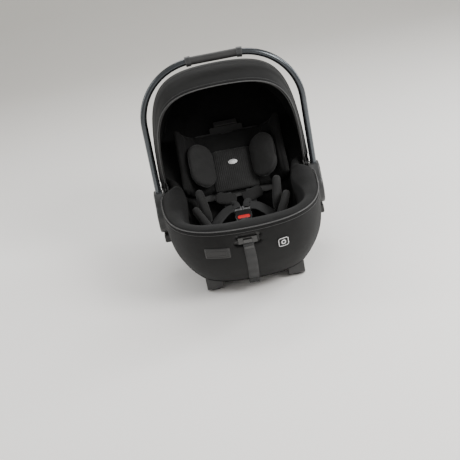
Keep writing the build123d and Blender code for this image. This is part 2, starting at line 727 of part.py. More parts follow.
with BuildPart() as buckle_button:
    with BuildSketch(BUCKLE.offset(BUCKLE_THICK / 2 - 2.5)):
        SlotCenterToCenter(22, 10.4)
    extrude(amount=4)
    fillet(buckle_button.faces().sort_by(Axis((0, 0, 0), (0, -0.5, 0.866)))[-1].edges(), 1.2)
save(buckle_button, "buckle_button")

with BuildPart() as buckle_tongues:
    for _, sign in SIDES:
        with BuildSketch(BUCKLE.offset(-2)):
            with Locations((sign * 11, 17)):
                Rectangle(14, 15)
            with Locations((sign * 14, 34)):
                RectangleRounded(26, 16, 4)
            with Locations((sign * 14, 36)):
                Rectangle(18, 4, mode=Mode.SUBTRACT)
        extrude(amount=3)
save(buckle_tongues, "buckle_tongues")


def webbing(name, planes, corners, bend=12):
    """Flat webbing with one route in side view, extruded across each given plane."""
    with BuildPart() as strap:
        for plane in planes:
            with BuildSketch(plane):
                with BuildLine() as route:
                    FilletPolyline(*corners, radius=bend)
                trace(route.edges(), line_width=WEBBING_THICK)
            extrude(amount=WEBBING_WIDTH / 2, both=True)
    save(strap, name)


def side_view(across, along, out):
    point = on_backrest(across, along, out).origin
    return point.Y, point.Z


shoulder_route = [side_view(0, 60, 30.5), side_view(0, 27, 33), side_view(0, 17.7, 62.9)]
for side, sign in SIDES:
    webbing(f"shoulder_strap_{side}", [Plane.YZ.offset(sign * 26)], shoulder_route, 6)

with BuildPart() as lap_straps:
    for _, sign in SIDES:
        start, end = Vector(sign * 100, -70, 108), Vector(sign * 42, BUCKLE_Y + 31, BUCKLE_Z + 17)
        along = (end - start).normalized()
        with BuildSketch(Plane(origin=start, x_dir=(0, 0.5, 0.866), z_dir=along)):
            Rectangle(WEBBING_WIDTH, WEBBING_THICK)
        extrude(amount=(end - start).length)
save(lap_straps, "lap_straps")

crotch_route = [(-96, 60), (-96, 104), (-88, 116), (-83.5, 119)]
webbing("crotch_strap", [Plane.YZ], crotch_route, 5)

with BuildPart() as crotch_pad:
    with BuildSketch(Plane(origin=(0, -104, 124), x_dir=(1, 0, 0), z_dir=(0, -0.7, 0.71))) as crotch_outline:
        Rectangle(44, 44)
        fillet(crotch_outline.vertices(), 12)
    extrude(amount=10)
    fillet(crotch_pad.edges().filter_by(GeomType.LINE, reverse=True), 3)
save(crotch_pad, "crotch_pad")

with BuildPart() as harness_splitter:
    with BuildSketch(Plane.XY.offset(52)):
        with Locations((0, 96)):
            RectangleRounded(74, 26, 8)
        with Locations((-24, 100), (24, 100)):
            RectangleRounded(20, 6, 2, mode=Mode.SUBTRACT)
        with Locations((0, 90)):
            RectangleRounded(30, 6, 2, mode=Mode.SUBTRACT)
    extrude(amount=3)
save(harness_splitter, "harness_splitter")

# ==== release handle at the head end ===================================================
release_wall = 4
with BuildPart() as release_housing:
    add(hull(2))
    add(hull(-26), mode=Mode.SUBTRACT)
    frame_x, frame_z = RELEASE_X - 1, (RELEASE_Z[0] + 1, RELEASE_Z[1] - 1)
    add(block((-frame_x, frame_x), (RELEASE_Y + 1, 400), frame_z), mode=Mode.INTERSECT)
    well_x, well_z = frame_x - release_wall, (frame_z[0] + release_wall, frame_z[1] - release_wall)
    add(block((-well_x, well_x), (RELEASE_Y + 6, 400), well_z), mode=Mode.SUBTRACT)
save(release_housing, "release_housing")

LEVER_Z = (305, 319)
with BuildPart() as release_lever:
    with BuildSketch(Plane.XY.offset(LEVER_Z[0])):
        with Locations((0, 305)):
            RectangleRounded(104, 13, 6)
    extrude(amount=LEVER_Z[1] - LEVER_Z[0])
    fillet(release_lever.edges().filter_by(Axis.Z, reverse=True), 3)
save(release_lever, "release_lever")
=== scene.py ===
import json
from math import cos, exp, pi, radians, sin, sqrt

import bmesh
import bpy
import numpy as np
from mathutils import Matrix, Vector
from mathutils.bvhtree import BVHTree


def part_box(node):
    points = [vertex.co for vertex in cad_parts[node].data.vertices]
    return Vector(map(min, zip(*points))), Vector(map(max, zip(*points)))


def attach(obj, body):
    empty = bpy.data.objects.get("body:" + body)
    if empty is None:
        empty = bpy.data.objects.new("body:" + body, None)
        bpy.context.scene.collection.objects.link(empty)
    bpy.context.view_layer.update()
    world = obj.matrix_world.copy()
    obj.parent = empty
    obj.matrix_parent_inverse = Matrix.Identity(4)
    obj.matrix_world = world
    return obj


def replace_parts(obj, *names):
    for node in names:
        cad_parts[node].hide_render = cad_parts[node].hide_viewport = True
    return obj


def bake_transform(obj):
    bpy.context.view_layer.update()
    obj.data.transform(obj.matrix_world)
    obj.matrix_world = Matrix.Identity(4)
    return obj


# Infant car seat. Metres, +Z up, foot end at -Y, head end at +Y, as in the frame.
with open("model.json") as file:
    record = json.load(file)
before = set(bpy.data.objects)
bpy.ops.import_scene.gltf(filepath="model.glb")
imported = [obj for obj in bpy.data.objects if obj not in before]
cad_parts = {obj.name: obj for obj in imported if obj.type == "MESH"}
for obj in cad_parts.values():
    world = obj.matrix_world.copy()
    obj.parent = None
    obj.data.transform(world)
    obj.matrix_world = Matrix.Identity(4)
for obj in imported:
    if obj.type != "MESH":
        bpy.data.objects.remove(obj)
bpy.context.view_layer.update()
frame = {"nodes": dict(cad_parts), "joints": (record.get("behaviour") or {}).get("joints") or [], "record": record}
nodes = frame["nodes"]
scene = bpy.context.scene
SIDES = (("left", -1), ("right", 1))
SLANT = sqrt(0.5)
BACKREST_ORIGIN = Vector((0, 0.010, 0.100))
UP_SLOPE, OFF_SLOPE = Vector((0, SLANT, SLANT)), Vector((0, -SLANT, SLANT))
JOINTS = {joint["name"]: joint for joint in frame["joints"]}
CANOPY_PIVOT = Vector(JOINTS["canopy_fold"]["pos_m"])
CANOPY_FULLNESS = 0.854
FLOOR_GAP = 0.0004  # keeps the floor clear of the skid pads' faces


# ==== camera, light and floor ==========================================================
def make_camera():
    """A long lens from the foot end, a little above, rolled so that the seat stands tipped sideways."""
    target, distance, elevation, azimuth = Vector((0, 0, 0.290)), 3.2, radians(20), radians(-1.0)
    roll, lens, sensor = radians(10.6), 97.0, 36.0
    aside, above = 0.0049054, 0.1946679
    back = Vector((sin(azimuth) * cos(elevation), -cos(azimuth) * cos(elevation), sin(elevation)))
    right = Vector((cos(azimuth), sin(azimuth), 0))
    up = back.cross(right)
    camera_x = right * cos(roll) - up * sin(roll)
    camera_y = right * sin(roll) + up * cos(roll)
    position = target + back * distance
    aim = target - camera_x * aside - camera_y * above
    away = (position - aim).normalized()
    side = camera_y.cross(away).normalized()
    data = bpy.data.cameras.new("camera")
    data.lens, data.sensor_width = lens, sensor
    camera = bpy.data.objects.new("camera", data)
    turn = Matrix((side, away.cross(side), away)).transposed()
    camera.matrix_world = Matrix.Translation(position) @ turn.to_4x4()
    scene.collection.objects.link(camera)
    scene.camera = camera


def make_light(name, place, size, power, colour):
    data = bpy.data.lights.new(name, "AREA")
    data.energy, data.color = power, colour
    data.shape, data.size, data.size_y = "RECTANGLE", size[0], size[1]
    light = bpy.data.objects.new(name, data)
    light.location = place
    light.rotation_euler = (Vector((0, 0, 0.25)) - light.location).to_track_quat("-Z", "Y").to_euler()
    scene.collection.objects.link(light)


def make_studio():
    world = bpy.data.worlds.new("studio")
    scene.world = world
    world.use_nodes = True
    world.node_tree.nodes["Background"].inputs["Color"].default_value = (0.86, 0.85, 0.83, 1)
    world.node_tree.nodes["Background"].inputs["Strength"].default_value = 1.0
    make_light("key", (1.9, -1.7, 1.9), (1.1, 1.1), 74, (1, 0.99, 0.975))
    make_light("rim_right", (1.9, 0.6, 1.0), (0.4, 1.6), 30, (0.95, 0.98, 1))
    make_light("rim_left", (-1.9, 0.2, 1.0), (0.3, 1.6), 14, (0.95, 0.98, 1))
    make_light("top_back", (0.1, 1.4, 2.0), (1.6, 0.8), 22, (1, 1, 1))
    mesh = bpy.data.meshes.new("floor")
    reach, flat_to, bend, height, steps, half_width = 4.0, 2.0, 1.2, 4.0, 12, 5
    turns = [pi / 2 * k / steps for k in range(1, steps + 1)]
    rows = [(-reach, 0.0), (flat_to, 0.0)]
    rows += [(flat_to + bend * sin(turn), bend * (1 - cos(turn))) for turn in turns]
    rows += [(flat_to + bend, height)]
    points = [(x, y, z) for y, z in rows for x in (-half_width, half_width)]
    mesh.from_pydata(points, [], [(2 * k, 2 * k + 1, 2 * k + 3, 2 * k + 2) for k in range(len(rows) - 1)])
    floor = bpy.data.objects.new("floor", mesh)
    scene.collection.objects.link(floor)
    floor.location.z = -FLOOR_GAP
    mesh.materials.append(floor_material())
    for face in mesh.polygons:
        face.use_smooth = True


# ==== materials ========================================================================
def plain_material(name, colour, roughness):
    material = bpy.data.materials.new(name)
    material.use_nodes = True
    shader = material.node_tree.nodes["Principled BSDF"]
    shader.inputs["Base Color"].default_value = (*colour, 1)
    shader.inputs["Roughness"].default_value = roughness
    return material


def floor_material():
    """Pale floor, a little darker towards the back: painted shade standing in for the light falling off."""
    material = plain_material("floor_painted_shade", (0.8, 0.8, 0.8), 0.85)
    tree = material.node_tree
    place = add_node(tree, "ShaderNodeTexCoord").outputs["Object"]
    split = add_node(tree, "ShaderNodeSeparateXYZ", [("Vector", place)])
    depth = add_node(tree, "ShaderNodeMapRange", [("Value", split.outputs["Y"])])
    depth.inputs["From Min"].default_value, depth.inputs["From Max"].default_value = -0.2, 2.6
    # Painted shade: the colour darkens from front to back, where the light would fall off.
    ramp = add_node(tree, "ShaderNodeValToRGB", [("Fac", depth.outputs["Result"])])
    ramp.color_ramp.elements[0].color = (0.985, 0.965, 0.94, 1)
    ramp.color_ramp.elements[1].color = (0.47, 0.458, 0.43, 1)
    tree.links.new(ramp.outputs["Color"], tree.nodes["Principled BSDF"].inputs["Base Color"])
    return material


def add_node(tree, kind, links=(), **values):
    """A shader node with its values set and its inputs linked."""
    node = tree.nodes.new(kind)
    for key, value in values.items():
        if key in node.inputs:
            node.inputs[key].default_value = value
        else:
            setattr(node, key, value)
    for socket, source in links:
        tree.links.new(source, node.inputs[socket])
    return node


def mottled(tree, place, dark, light, scale, roughness_range):
    """Colour and roughness that vary softly over the surface."""
    noise = add_node(tree, "ShaderNodeTexNoise", [("Vector", place)], Scale=scale, Detail=4.0)
    ramp = add_node(tree, "ShaderNodeValToRGB", [("Fac", noise.outputs["Fac"])])
    ramp.color_ramp.elements[0].position, ramp.color_ramp.elements[1].position = 0.3, 0.7
    ramp.color_ramp.elements[0].color, ramp.color_ramp.elements[1].color = (*dark, 1), (*light, 1)
    rough = add_node(tree, "ShaderNodeMapRange", [("Value", noise.outputs["Fac"])])
    rough.inputs["To Min"].default_value, rough.inputs["To Max"].default_value = roughness_range
    return ramp.outputs["Color"], rough.outputs["Result"]


def knit_height(tree, place, pitch, kind):
    """Height of a fabric's threads, from 0 to 1."""
    if kind == "knit":
        cells = add_node(tree, "ShaderNodeTexVoronoi", [("Vector", place)], Scale=1 / pitch, Randomness=0.35)
        return cells.outputs["Distance"]
    waves = []
    for direction in ("X", "Z") if kind == "woven" else ("DIAGONAL",):
        wave = add_node(tree, "ShaderNodeTexWave", [("Vector", place)], Scale=0.314 / pitch, Distortion=0.6)
        wave.bands_direction = direction
        waves.append(wave.outputs["Fac"])
    if len(waves) == 1:
        return waves[0]
    both = add_node(tree, "ShaderNodeMath", [(0, waves[0]), (1, waves[1])], operation="MULTIPLY")
    return both.outputs["Value"]


def cloth_material(name, dark, light, pitch, kind, depth=0.0004, sheen=0.05, rough=(0.82, 0.96)):
    """Woven, knitted or twilled cloth: threads, flecks and soft creases in the shading only."""
    material = bpy.data.materials.new(name)
    material.use_nodes = True
    tree = material.node_tree
    shader = tree.nodes["Principled BSDF"]
    place = add_node(tree, "ShaderNodeTexCoord").outputs["Object"]
    colour, roughness = mottled(tree, place, dark, light, 38.0, rough)
    height = knit_height(tree, place, pitch, kind)
    flecks = add_node(tree, "ShaderNodeTexNoise", [("Vector", place)], Scale=1500.0, Detail=2.0)
    fleck_mix = add_node(tree, "ShaderNodeMix", data_type="RGBA")
    tree.links.new(colour, fleck_mix.inputs[6])
    fleck_mix.inputs[7].default_value = (*[c * 1.9 for c in light], 1)
    weak = add_node(tree, "ShaderNodeMath", [(0, flecks.outputs["Fac"])], operation="POWER")
    weak.inputs[1].default_value = 2.6
    tree.links.new(weak.outputs["Value"], fleck_mix.inputs[0])
    tree.links.new(fleck_mix.outputs[2], shader.inputs["Base Color"])
    tree.links.new(roughness, shader.inputs["Roughness"])
    bump = add_node(tree, "ShaderNodeBump", [("Height", height)], Strength=0.55, Distance=depth)
    creases = add_node(tree, "ShaderNodeTexNoise", [("Vector", place)], Scale=26.0, Detail=3.0)
    soft = add_node(
        tree, "ShaderNodeBump", [("Height", creases.outputs["Fac"]), ("Normal", bump.outputs["Normal"])],
        Strength=0.35, Distance=0.003,
    )
    tree.links.new(soft.outputs["Normal"], shader.inputs["Normal"])
    shader.inputs["Sheen Weight"].default_value = sheen
    shader.inputs["Sheen Roughness"].default_value = 0.45
    shader.inputs["Specular IOR Level"].default_value = 0.12
    return material


def moulded_material(name, dark, light, rough, grain=0.00012, metallic=0.0, coat=0.0):
    """Moulded plastic, painted metal or leather: fine grain, soft variation and a painted highlight on convex
    edges.
    """
    material = bpy.data.materials.new(name)
    material.use_nodes = True
    tree = material.node_tree
    shader = tree.nodes["Principled BSDF"]
    place = add_node(tree, "ShaderNodeTexCoord").outputs["Object"]
    colour, roughness = mottled(tree, place, dark, light, 22.0, rough)
    geometry = add_node(tree, "ShaderNodeNewGeometry")
    # Painted highlight: convex edges, found by pointiness, get a lighter colour, as if they caught the light.
    edge = add_node(tree, "ShaderNodeMapRange", [("Value", geometry.outputs["Pointiness"])])
    edge.inputs["From Min"].default_value, edge.inputs["From Max"].default_value = 0.53, 0.62
    edge_highlight = add_node(tree, "ShaderNodeMix", data_type="RGBA")
    tree.links.new(edge.outputs["Result"], edge_highlight.inputs[0])
    tree.links.new(colour, edge_highlight.inputs[6])
    edge_highlight.inputs[7].default_value = (*[min(1, c * 1.8 + 0.004) for c in light], 1)
    tree.links.new(edge_highlight.outputs[2], shader.inputs["Base Color"])
    tree.links.new(roughness, shader.inputs["Roughness"])
    speckle = add_node(tree, "ShaderNodeTexVoronoi", [("Vector", place)], Scale=900.0)
    bump = add_node(
        tree, "ShaderNodeBump", [("Height", speckle.outputs["Distance"])], Strength=0.4, Distance=grain
    )
    tree.links.new(bump.outputs["Normal"], shader.inputs["Normal"])
    shader.inputs["Metallic"].default_value = metallic
    shader.inputs["Coat Weight"].default_value = coat
    shader.inputs["Coat Roughness"].default_value = 0.2
    return material


def grey(value, tint=0.0):
    """A grey, made bluer by the tint."""
    return (value, value * (1 + tint * 0.5), value * (1 + tint))


MATERIALS = {
    "shell_plastic": moulded_material("shell_plastic", grey(0.009), grey(0.013), (0.42, 0.55)),
    "inner_plastic": moulded_material("inner_plastic", grey(0.012), grey(0.018), (0.5, 0.62)),
    "foam": moulded_material("foam", grey(0.04), grey(0.06), (0.8, 0.95), grain=0.0004),
    "knit": cloth_material("knit", grey(0.007), grey(0.011), 0.0016, "knit"),
    "canopy_cloth": cloth_material("canopy_cloth", grey(0.006), grey(0.009), 0.0011, "woven", depth=0.0002),
    "soft_knit": cloth_material("soft_knit", grey(0.017), grey(0.024), 0.0013, "knit", sheen=0.09),
    "ribbed_knit": cloth_material("ribbed_knit", grey(0.017), grey(0.027), 0.0012, "knit", sheen=0.10),
    "rubber": moulded_material("rubber", grey(0.006), grey(0.009), (0.55, 0.7)),
    "tag": cloth_material("tag", grey(0.012), grey(0.018), 0.001, "woven"),
    "steel": moulded_material("steel", grey(0.42, 0.03), grey(0.52, 0.03), (0.25, 0.38), metallic=1.0),
    "ring_plastic": moulded_material("ring_plastic", grey(0.02), grey(0.03), (0.4, 0.5)),
    "webbing": cloth_material(
        "webbing", grey(0.024, 0.05), grey(0.034, 0.02), 0.0018, "twill", rough=(0.6, 0.75)
    ),
    "buckle_plastic": moulded_material("buckle_plastic", grey(0.009), grey(0.013), (0.25, 0.35), coat=0.2),
    "red_button": moulded_material(
        "red_button", (0.62, 0.022, 0.022), (0.70, 0.03, 0.03), (0.25, 0.33), coat=0.4
    ),
    "handle_metal": moulded_material(
        "handle_metal", grey(0.034, 0.25), grey(0.045, 0.28), (0.2, 0.28),
        grain=0.00004, metallic=0.8, coat=0.4,
    ),
    "cap_plastic": moulded_material("cap_plastic", grey(0.013, 0.1), grey(0.02, 0.1), (0.34, 0.42), coat=0.1),
    "grip_leather": moulded_material("grip_leather", grey(0.014), grey(0.022), (0.42, 0.58), grain=0.0005),
    "piping": cloth_material("piping", grey(0.05), grey(0.07), 0.0009, "twill", rough=(0.4, 0.55)),
    "pale_mark": cloth_material("pale_mark", grey(0.62), grey(0.72), 0.0008, "twill", rough=(0.5, 0.6)),
    "stitch": cloth_material("stitch", grey(0.045), grey(0.06), 0.0008, "twill", rough=(0.5, 0.6)),
}


def dress_cad_nodes():
    slots = {part["node"]: part["material_slot"] for part in frame["record"]["subparts"]}
    for name, node in nodes.items():
        node.data.materials.clear()
        node.data.materials.append(MATERIALS[slots[name]])


def new_piece(name, points, faces, material, body=None):
    mesh = bpy.data.meshes.new(name)
    mesh.from_pydata([tuple(p) for p in points], [], faces)
    mesh.update()
    piece = bpy.data.objects.new(name, mesh)
    scene.collection.objects.link(piece)
    finish_piece(piece, material, body)
    return piece


def finish_piece(piece, material, body=None):
    piece.data.materials.clear()
    piece.data.materials.append(MATERIALS[material])
    for face in piece.data.polygons:
        face.use_smooth = True
    if body:
        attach(piece, body)


def grid_faces(rows, columns, closed=False):
    faces = []
    for r in range(rows - 1):
        for c in range(columns if closed else columns - 1):
            d = (c + 1) % columns
            faces.append((r * columns + c, r * columns + d, (r + 1) * columns + d, (r + 1) * columns + c))
    return faces


def apply_modifier(piece, kind, **settings):
    """Adds a modifier and bakes it into the mesh at once."""
    modifier = piece.modifiers.new(kind.lower(), kind)
    for key, value in settings.items():
        setattr(modifier, key, value)
    depsgraph = bpy.context.evaluated_depsgraph_get()
    depsgraph.update()
    baked = bpy.data.meshes.new_from_object(piece.evaluated_get(depsgraph))
    piece.modifiers.clear()
    old, piece.data = piece.data, baked
    bpy.data.meshes.remove(old)
    for face in piece.data.polygons:
        face.use_smooth = True
    return piece


def coordinates(piece):
    co = np.empty(len(piece.data.vertices) * 3)
    piece.data.vertices.foreach_get("co", co)
    return co.reshape(-1, 3)


def set_coordinates(piece, co):
    piece.data.vertices.foreach_set("co", co.reshape(-1))
    piece.data.update()


def normals(piece):
    normal = np.empty(len(piece.data.vertices) * 3)
    piece.data.vertices.foreach_get("normal", normal)
    return normal.reshape(-1, 3)


def surface(*names):
    """A tree for casting rays at the CAD nodes of these names."""
    points, faces = [], []
    for name in names:
        base = len(points)
        points += [v.co.copy() for v in nodes[name].data.vertices]
        faces += [[base + i for i in face.vertices] for face in nodes[name].data.polygons]
    return BVHTree.FromPolygons(points, faces)


def turn_faces_out(piece):
    """Makes all faces of a piece point the same way."""
    edit = bmesh.new()
    edit.from_mesh(piece.data)
    bmesh.ops.recalc_face_normals(edit, faces=edit.faces)
    edit.to_mesh(piece.data)
    edit.free()


def tube(name, path, radius, material, body, closed=False, sides=8):
    """A thin round tube along a path, for piping and thread."""
    count = len(path)
    points = []
    for i, p in enumerate(path):
        ahead = path[(i + 1) % count] if closed or i + 1 < count else p
        behind = path[i - 1] if closed or i else p
        along = (ahead - behind).normalized()
        across = along.cross(Vector((0.13, 0.21, 0.97))).normalized()
        other = along.cross(across)
        turns = [2 * pi * k / sides for k in range(sides)]
        points += [p + (across * cos(turn) + other * sin(turn)) * radius for turn in turns]
    faces = grid_faces(count, sides, closed=True)
    if closed:
        last = (count - 1) * sides
        faces += [(last + k, last + (k + 1) % sides, (k + 1) % sides, k) for k in range(sides)]
    else:
        faces += [tuple(range(sides))[::-1], tuple((count - 1) * sides + k for k in range(sides))]
    return new_piece(name, points, faces, material, body)


def smooth_path(points, per_span=8, closed=False):
    """A Catmull-Rom curve through the points."""
    points = [Vector(p) for p in points]
    count = len(points)
    spans = count if closed else count - 1
    path = []
    for s in range(spans):
        near = range(s - 1, s + 3)
        pick = [points[i % count] if closed else points[min(max(i, 0), count - 1)] for i in near]
        for k in range(per_span):
            t = k / per_span
            path.append(0.5 * (
                2 * pick[1] + (pick[2] - pick[0]) * t
                + (2 * pick[0] - 5 * pick[1] + 4 * pick[2] - pick[3]) * t * t
                + (3 * pick[1] - pick[0] - 3 * pick[2] + pick[3]) * t ** 3
            ))
    if not closed:
        path.append(points[-1])
    return path


def on_backrest(across, along, out):
    """A point by its place on the sloping backrest: across, up along it, and out from it."""
    return BACKREST_ORIGIN + Vector((across, 0, 0)) + UP_SLOPE * along + OFF_SLOPE * out


def ribbon(name, path, facing, width, thickness, body, material="webbing"):
    """Flat webbing along a path, facing the given directions, with rolled edges."""
    section = [(-0.5, 0.0), (-0.47, 0.5), (-0.25, 0.56), (0.0, 0.5), (0.25, 0.56), (0.47, 0.5), (0.5, 0.0)]
    section += [(x, -y) for x, y in section[-2:0:-1]]
    points = []
    for i, p in enumerate(path):
        along = (path[min(i + 1, len(path) - 1)] - path[max(i - 1, 0)]).normalized()
        face = facing[i] if isinstance(facing, list) else facing
        across = along.cross(face).normalized()
        out = across.cross(along)
        points += [p + across * x * width + out * y * thickness for x, y in section]
    size = len(section)
    faces = grid_faces(len(path), size, closed=True)
    faces += [tuple(range(size)), tuple((len(path) - 1) * size + k for k in range(size))[::-1]]
    return new_piece(name, points, faces, material, body)


# ==== padded pieces from the frame's soft solids =======================================
def soft_copy(name, node, material, voxel, shrink=0.0):
    """A copy of a soft solid with an even mesh, drawn in a little before it is filled."""
    piece = bpy.data.objects.new(name, nodes[node].data.copy())
    scene.collection.objects.link(piece)
    apply_modifier(piece, "REMESH", mode="VOXEL", voxel_size=voxel)
    if shrink:
        set_coordinates(piece, coordinates(piece) - normals(piece) * shrink)
    apply_modifier(piece, "SMOOTH", factor=0.5, iterations=6)
    finish_piece(piece, material)
    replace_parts(piece, node)
    return piece


FILL_FRAMES = 20


def fill_pads(pads):
    """Swells every pad as cloth under pressure, all in one run, and caps how far it moves."""
    before = {}
    for piece, pressure, _ in pads:
        before[piece.name] = coordinates(piece)
        cloth = piece.modifiers.new("cloth", "CLOTH")
        cloth.settings.quality = 4
        cloth.settings.mass = 0.3
        cloth.settings.tension_stiffness = 8
        cloth.settings.compression_stiffness = 8
        cloth.settings.bending_stiffness = 0.4
        cloth.settings.use_pressure = True
        cloth.settings.uniform_pressure_force = pressure
        cloth.settings.effector_weights.gravity = 0
        cloth.point_cache.frame_start, cloth.point_cache.frame_end = 1, FILL_FRAMES
    for number in range(1, FILL_FRAMES + 1):
        scene.frame_set(number)
    depsgraph = bpy.context.evaluated_depsgraph_get()
    for piece, _, cap in pads:
        swollen = piece.evaluated_get(depsgraph).data
        after = np.empty(len(swollen.vertices) * 3)
        swollen.vertices.foreach_get("co", after)
        move = after.reshape(-1, 3) - before[piece.name]
        length = np.linalg.norm(move, axis=1, keepdims=True)
        move *= np.minimum(1, cap / np.maximum(length, 1e-9))
        piece.modifiers.clear()
        set_coordinates(piece, before[piece.name] + move)
    scene.frame_set(1)


def groove(piece, distance, depth, width):
    """Presses a seam into a piece where the distance function is near zero."""
    co, normal = coordinates(piece), normals(piece)
    near = np.exp(-(distance(co) / width) ** 2)
    set_coordinates(piece, co - normal * (near * depth)[:, None])


def wrinkle(piece, depth, scale, seed=0.0):
    """Slow uneven waves, as in fabric that is stretched over padding."""
    co, normal = coordinates(piece), normals(piece)
    x, y, z = (co * scale).T
    waves = np.sin(x + 1.7 * np.sin(y + seed)) * np.cos(z * 0.9 + np.sin(x * 1.3 + seed))
    waves += 0.5 * np.sin(2.3 * y + z + seed)
    set_coordinates(piece, co + normal * (waves * depth / 1.5)[:, None])


def pad_axes(co):
    """Centre, long axis, wide axis and thin axis of one pad, with its half sizes."""
    centre = (co.max(0) + co.min(0)) / 2
    _, _, axes = np.linalg.svd(co - co.mean(0), full_matrices=False)
    spans = [(co @ axis).max() - (co @ axis).min() for axis in axes]
    middle = sum(axis * ((co @ axis).max() + (co @ axis).min()) / 2 for axis in axes)
    return Vector(middle), [Vector(a) for a in axes], [s / 2 for s in spans]


def edge_piping(name, co, body, shrink, radius, material):
    """Piping round the widest outline of one pad."""
    centre, axes, halves = pad_axes(co)
    steps = 56
    path = [
        centre
        + axes[0] * (halves[0] - shrink) * cos(2 * pi * k / steps)
        + axes[1] * (halves[1] - shrink) * sin(2 * pi * k / steps)
        for k in range(steps)
    ]
    return tube(name, path, radius, material, body, closed=True)


# ==== hull skin, seat cover and skirt ==================================================
SHELL = surface("outer_shell", "hub_base_left", "hub_base_right", "release_housing")
HULL = surface("outer_shell", "front_cover", "hub_base_left", "hub_base_right", "release_housing")
BOWL = surface("seat_cover")
RIM_MIDDLE = -0.020
RAY_FROM = 0.6
RIM_SEARCH = (0.14, 0.46)
HULL_GUESS = 0.19  # the hull's radius where a ray misses it
POCKET_Y, POCKET_X = (0.004, 0.066), 0.1735  # where the canopy mounts leave less room
SIDE_PULL = 0.14


def outwards(angle):
    """A level direction: 0 is the foot end, and angles grow towards +X."""
    return Vector((sin(angle), -cos(angle), 0))


def top_edge(meets_wall, low, high):
    """The greatest height at which the wall is still there."""
    for _ in range(18):
        middle = (low + high) / 2
        low, high = (middle, high) if meets_wall(middle) else (low, middle)
    return low


def hull_hit(angle, z, tree=HULL):
    """Where a level ray from outside meets the near side of the hull, or None."""
    out, middle = outwards(angle), Vector((0, RIM_MIDDLE, z))
    hit = tree.ray_cast(middle + out * RAY_FROM, -out)[0]
    return hit if hit and (hit - middle).dot(out) > 0.08 else None


def hull_point(angle, z, grow):
    """A point on the hull's outside, moved out by grow."""
    place = hull_hit(angle, z) or Vector((0, RIM_MIDDLE, z)) + outwards(angle) * HULL_GUESS
    return place + outwards(angle) * grow


def foot_hit(x, z):
    """Where a level ray from the foot end meets the hull."""
    return HULL.ray_cast(Vector((x, -RAY_FROM, z)), Vector((0, 1, 0)))[0]


def bowl_hit(angle, z, middle_y):
    """Where a level ray from inside the seat meets its lining."""
    return BOWL.ray_cast(Vector((0, middle_y, z)), outwards(angle))[0]


RIM_ANGLES = np.linspace(0, 2 * pi, 241)
RIM_HEIGHTS = np.array([
    top_edge(lambda z, a=a: hull_hit(a, z, SHELL) is not None, *RIM_SEARCH) for a in RIM_ANGLES
])
RIM_HEIGHTS = (np.roll(RIM_HEIGHTS[:-1], 1) + RIM_HEIGHTS[:-1] + np.roll(RIM_HEIGHTS[:-1], -1)) / 3
RIM_HEIGHTS = np.append(RIM_HEIGHTS, RIM_HEIGHTS[0])


def rim_point(angle, lift, grow):
    """A point on the hull's outside at the top edge of the shell plus a lift."""
    top = float(np.interp(angle % (2 * pi), RIM_ANGLES, RIM_HEIGHTS))
    point = hull_point(angle, top - 0.002, grow)
    point.z = top + lift
    return point


def bolster(point):
    """How much of the padded bolster beside the hubs there is at a place, from 0 to 1."""
    return exp(-(((point.y + 0.045) / 0.075) ** 2)) * min(1, abs(point.x) / 0.12) ** 2


